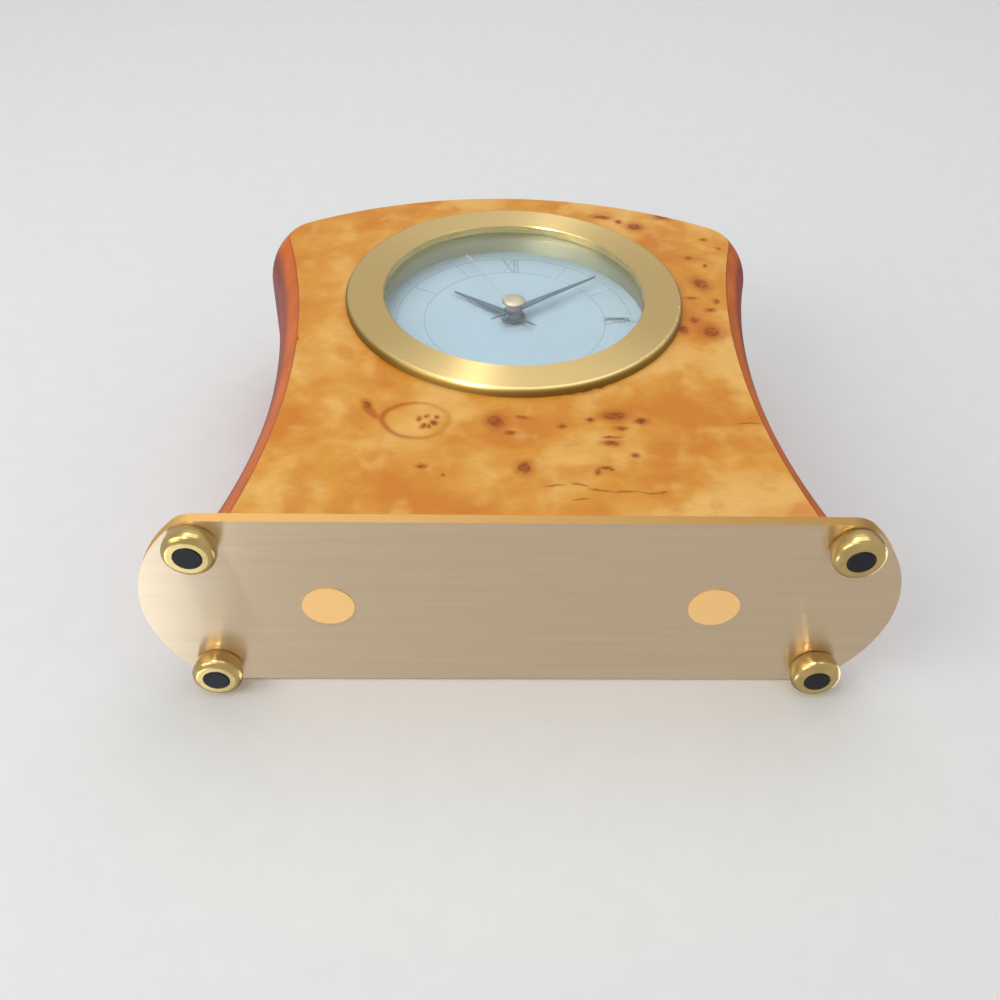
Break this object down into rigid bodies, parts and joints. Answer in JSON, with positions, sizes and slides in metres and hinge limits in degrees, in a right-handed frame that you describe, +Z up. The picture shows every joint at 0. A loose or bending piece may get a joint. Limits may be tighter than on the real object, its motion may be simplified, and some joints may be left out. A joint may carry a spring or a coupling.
{
  "type": "desk clock with calendar",
  "caption": "Mantel-shaped wooden desk clock with a burl front, brass bezel and base plate on turned feet, quartz movement and a date window.",
  "frame": {"origin": "on the surface that the clock stands on, under the middle of its base plate", "axes": "+Z up, the dial faces -Y, +X to the right as the clock is read"},
  "size_m": [0.17, 0.0537, 0.1566],
  "materials": {
    "brushed_brass": "brushed along its length, clear lacquer",
    "turned_brass": "turned and polished",
    "bezel_brass": "brushed in circles, clear lacquer",
    "reflector_brass": "satin",
    "cap_brass": "polished",
    "steel": "bright zinc plating",
    "gold_sticker": "metallic foil",
    "lacquered_wood": "gloss lacquer",
    "burl_veneer": "burl under gloss lacquer",
    "glass": "clear",
    "black_rubber": "moulded",
    "dial_enamel": "satin white",
    "black_plastic": "moulded ABS",
    "calendar_plastic": "moulded",
    "date_ring_card": "printed",
    "gear_plastic": "moulded acetal",
    "movement_plastic": "moulded",
    "copper_winding": "enamelled copper wire",
    "magnet": "sintered",
    "knob_plastic": "moulded",
    "battery_sleeve": "printed sleeve on steel",
    "circuit_board": "solder mask",
    "hand_lacquer": "dark satin lacquer",
    "second_hand_lacquer": "thin red lacquer"
  },
  "bodies": {
    "clock_case": {"base_plate": "brushed_brass", "foot_screws": "steel", "body_screws": "steel", "screw_cover_left": "gold_sticker", "screw_cover_right": "gold_sticker", "wooden_body": "lacquered_wood", "burl_veneer": "burl_veneer", "bezel": "bezel_brass", "glass": "glass", "glass_gasket": "black_rubber", "reflector_ring": "reflector_brass", "dial": "dial_enamel", "insert_can": "black_plastic", "retaining_band": "black_rubber", "back_cover": "black_plastic", "back_cover_screws": "steel", "movement_screws": "steel", "calendar_plate": "calendar_plastic", "date_jumper": "gear_plastic", "movement_front_case": "movement_plastic", "movement_back_case": "movement_plastic", "stator": "steel", "coil": "copper_winding", "battery": "battery_sleeve", "battery_contact_negative": "steel", "battery_contact_positive": "steel", "circuit_board": "circuit_board", "foot_front_left": "turned_brass", "foot_pad_front_left": "black_rubber", "foot_front_right": "turned_brass", "foot_pad_front_right": "black_rubber", "foot_rear_left": "turned_brass", "foot_pad_rear_left": "black_rubber", "foot_rear_right": "turned_brass", "foot_pad_rear_right": "black_rubber"},
    "minute_train": {"minute_hand": "hand_lacquer", "cannon_pinion": "gear_plastic"},
    "hour_train": {"hour_hand": "hand_lacquer", "hour_wheel": "gear_plastic", "date_pinion": "gear_plastic"},
    "motion_wheel": {"motion_wheel": "gear_plastic"},
    "setting_knob": {"setting_knob": "knob_plastic"},
    "date_wheel": {"date_wheel": "gear_plastic"},
    "second_train": {"second_hand": "second_hand_lacquer", "second_hand_cap": "cap_brass", "second_wheel": "gear_plastic"},
    "third_wheel": {"third_wheel": "gear_plastic"},
    "centre_wheel": {"centre_wheel": "gear_plastic"},
    "intermediate_wheel": {"intermediate_wheel": "gear_plastic"},
    "rotor": {"rotor": "magnet"},
    "date_ring": {"date_ring": "date_ring_card"}
  },
  "joints": [
    {"name": "minute_hand_turn", "type": "hinge", "parent": "clock_case", "child": "minute_train", "pos_m": [0, 0, 0.0943], "axis": [0, 1, 0], "continuous": true},
    {"name": "hour_hand_turn", "type": "hinge", "parent": "clock_case", "child": "hour_train", "pos_m": [0, 0, 0.0943], "axis": [0, 1, 0], "continuous": true},
    {"name": "motion_wheel_turn", "type": "hinge", "parent": "clock_case", "child": "motion_wheel", "pos_m": [-0.0058, 0, 0.09275], "axis": [0, 1, 0], "continuous": true},
    {"name": "setting_knob_turn", "type": "hinge", "parent": "clock_case", "child": "setting_knob", "pos_m": [-0.0118, 0, 0.09275], "axis": [0, 1, 0], "continuous": true},
    {"name": "date_wheel_turn", "type": "hinge", "parent": "clock_case", "child": "date_wheel", "pos_m": [-0.00996, 0, 0.10426], "axis": [0, 1, 0], "continuous": true},
    {"name": "second_hand_turn", "type": "hinge", "parent": "clock_case", "child": "second_train", "pos_m": [0, 0, 0.0943], "axis": [0, 1, 0], "continuous": true},
    {"name": "third_wheel_turn", "type": "hinge", "parent": "clock_case", "child": "third_wheel", "pos_m": [-0.0045, 0, 0.10209], "axis": [0, 1, 0], "continuous": true},
    {"name": "centre_wheel_turn", "type": "hinge", "parent": "clock_case", "child": "centre_wheel", "pos_m": [0, 0, 0.0943], "axis": [0, 1, 0], "continuous": true},
    {"name": "intermediate_wheel_turn", "type": "hinge", "parent": "clock_case", "child": "intermediate_wheel", "pos_m": [0.00758, 0, 0.09867], "axis": [0, 1, 0], "continuous": true},
    {"name": "rotor_turn", "type": "hinge", "parent": "clock_case", "child": "rotor", "pos_m": [0.01058, 0, 0.10387], "axis": [0, 1, 0], "continuous": true},
    {"name": "date_ring_turn", "type": "hinge", "parent": "clock_case", "child": "date_ring", "pos_m": [0, 0, 0.0943], "axis": [0, 1, 0], "continuous": true}
  ],
  "couplings": [
    {"joint": "hour_hand_turn", "follows": "minute_hand_turn", "ratio": 0.083333},
    {"joint": "motion_wheel_turn", "follows": "minute_hand_turn", "ratio": -0.33333},
    {"joint": "setting_knob_turn", "follows": "minute_hand_turn", "ratio": 1},
    {"joint": "date_wheel_turn", "follows": "minute_hand_turn", "ratio": -0.041667},
    {"joint": "third_wheel_turn", "follows": "second_hand_turn", "ratio": -0.125},
    {"joint": "centre_wheel_turn", "follows": "second_hand_turn", "ratio": 0.016667},
    {"joint": "intermediate_wheel_turn", "follows": "second_hand_turn", "ratio": -6},
    {"joint": "rotor_turn", "follows": "second_hand_turn", "ratio": 30}
  ]
}
